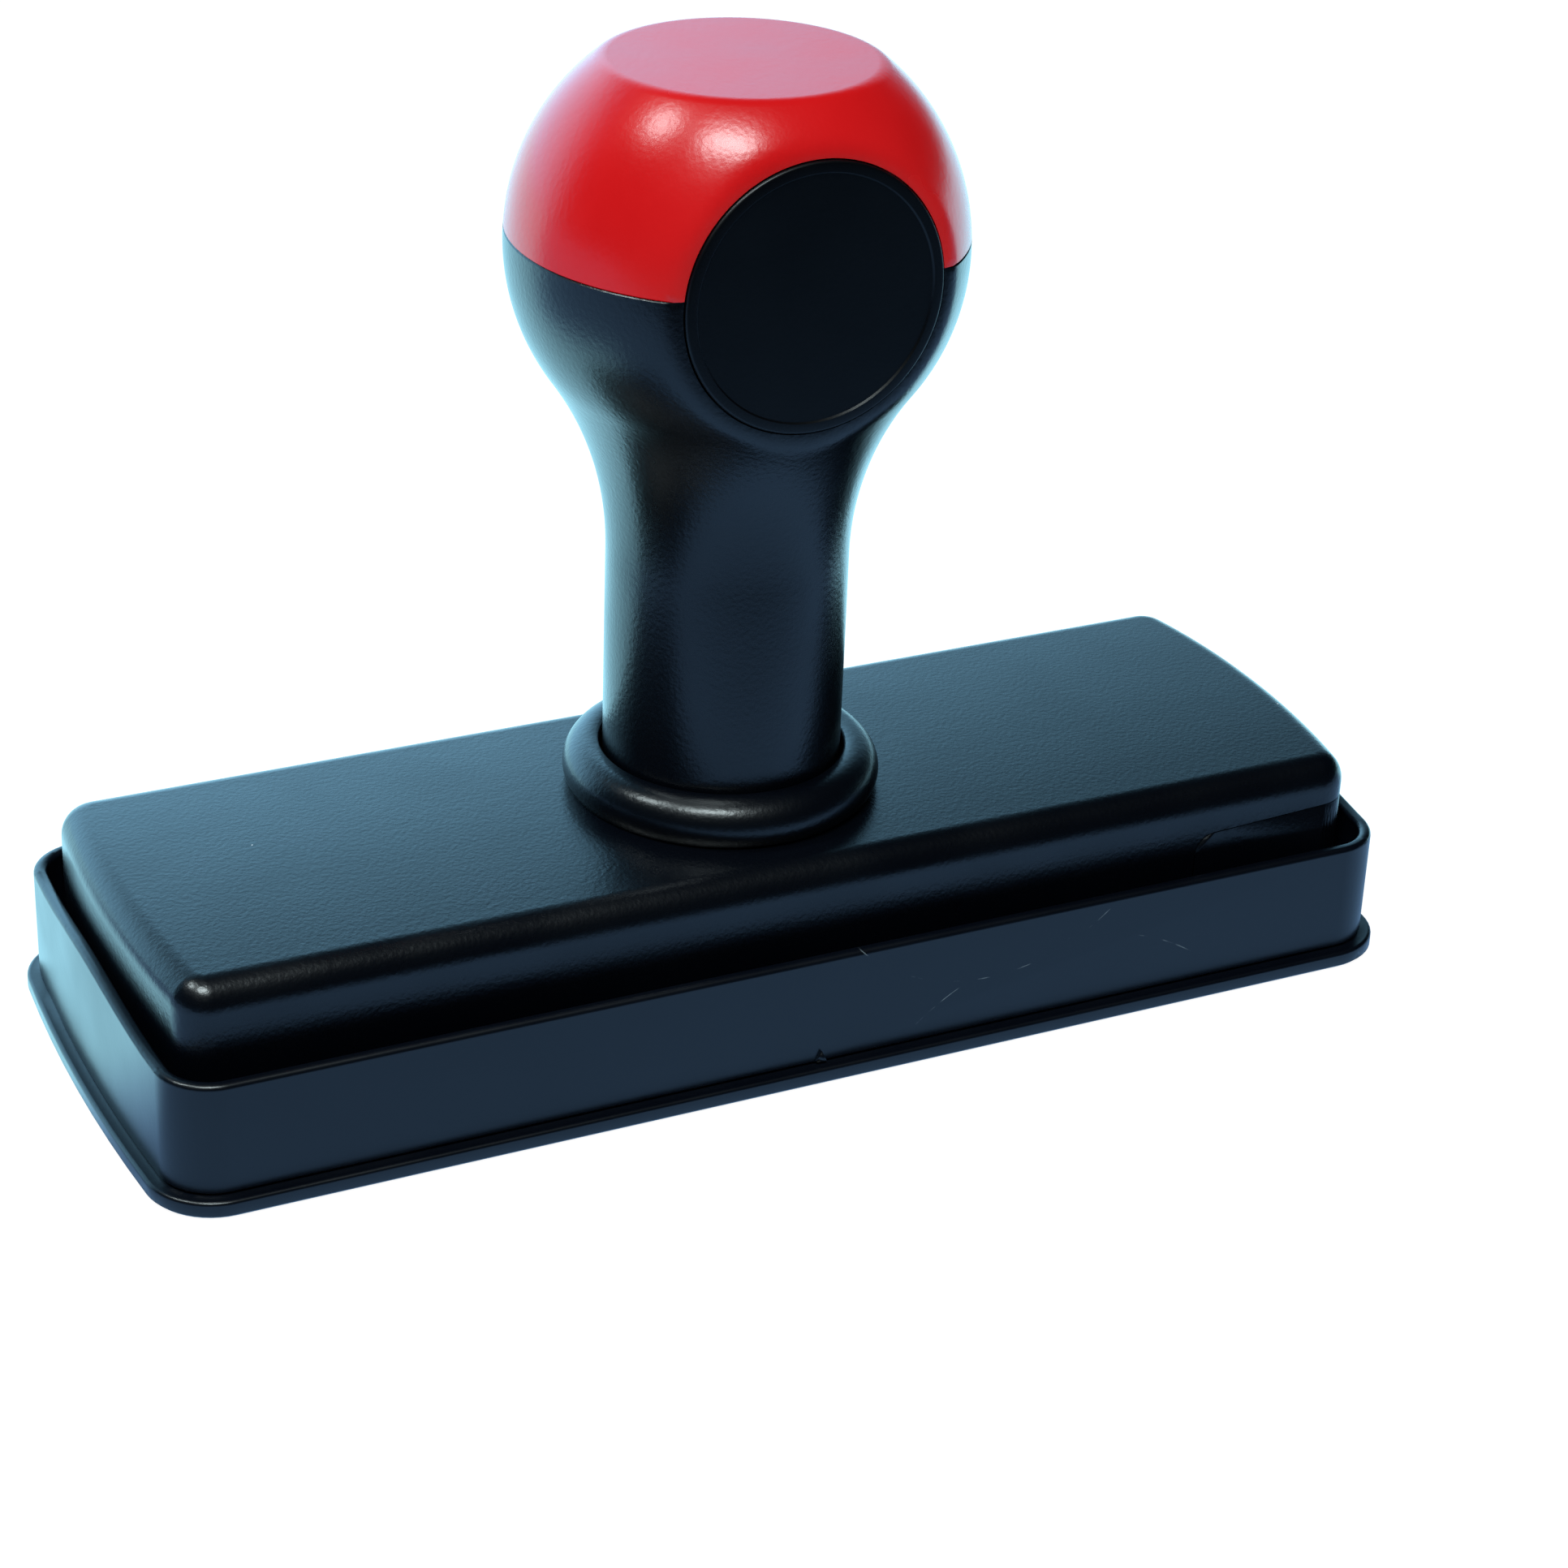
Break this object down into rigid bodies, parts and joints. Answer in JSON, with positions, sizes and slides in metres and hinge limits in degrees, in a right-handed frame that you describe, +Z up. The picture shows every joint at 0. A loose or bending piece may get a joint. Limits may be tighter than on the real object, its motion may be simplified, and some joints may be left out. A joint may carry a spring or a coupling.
{
  "type": "self-inking hand stamp",
  "caption": "Knob-handled self-inking office stamp: a block with die, pad and ink cartridge slides in a spring-loaded skirt that stands on a lift-off dust cover.",
  "frame": {"origin": "centre of the dust cover's underside, which stands on the desk", "axes": "+X along the stamp towards the cartridge end, -Y to the front with the badge, +Z up"},
  "size_m": [0.1018, 0.0394, 0.0723],
  "materials": {
    "frame_plastic": "smooth satin black moulded plastic",
    "cover_plastic": "fine spark-eroded black moulded plastic",
    "badge_plastic": "satin black moulded plastic",
    "red_plastic": "satin red moulded plastic",
    "die_rubber": "fine porous rubber",
    "felt": "ink-soaked felt",
    "steel": "plain drawn steel"
  },
  "bodies": {
    "dust_cover": {"dust_cover": "frame_plastic"},
    "skirt": {"skirt": "frame_plastic"},
    "block": {"top_cover": "cover_plastic", "cartridge_holder": "cover_plastic", "ink_pad": "felt", "stamp_die": "die_rubber", "die_frame": "frame_plastic", "collar_ring": "cover_plastic", "handle_shell": "cover_plastic", "knob_cap": "red_plastic", "knob_badge": "badge_plastic", "handle_washer": "steel", "handle_screw": "steel", "return_spring_front_left": "steel", "return_spring_front_right": "steel", "return_spring_rear_left": "steel", "return_spring_rear_right": "steel"}
  },
  "joints": [
    {"name": "lift_off_dust_cover", "type": "slide", "parent": "dust_cover", "child": "skirt", "axis": [0, 0, 1], "range_m": [0, 0.02]},
    {"name": "press_stroke", "type": "slide", "parent": "skirt", "child": "block", "axis": [0, 0, -1], "range_m": [0, 0.0035], "stiffness_N_per_m": 2000, "springref_m": -0.0015, "deforming": ["return_spring_front_left", "return_spring_front_right", "return_spring_rear_left", "return_spring_rear_right"]}
  ]
}
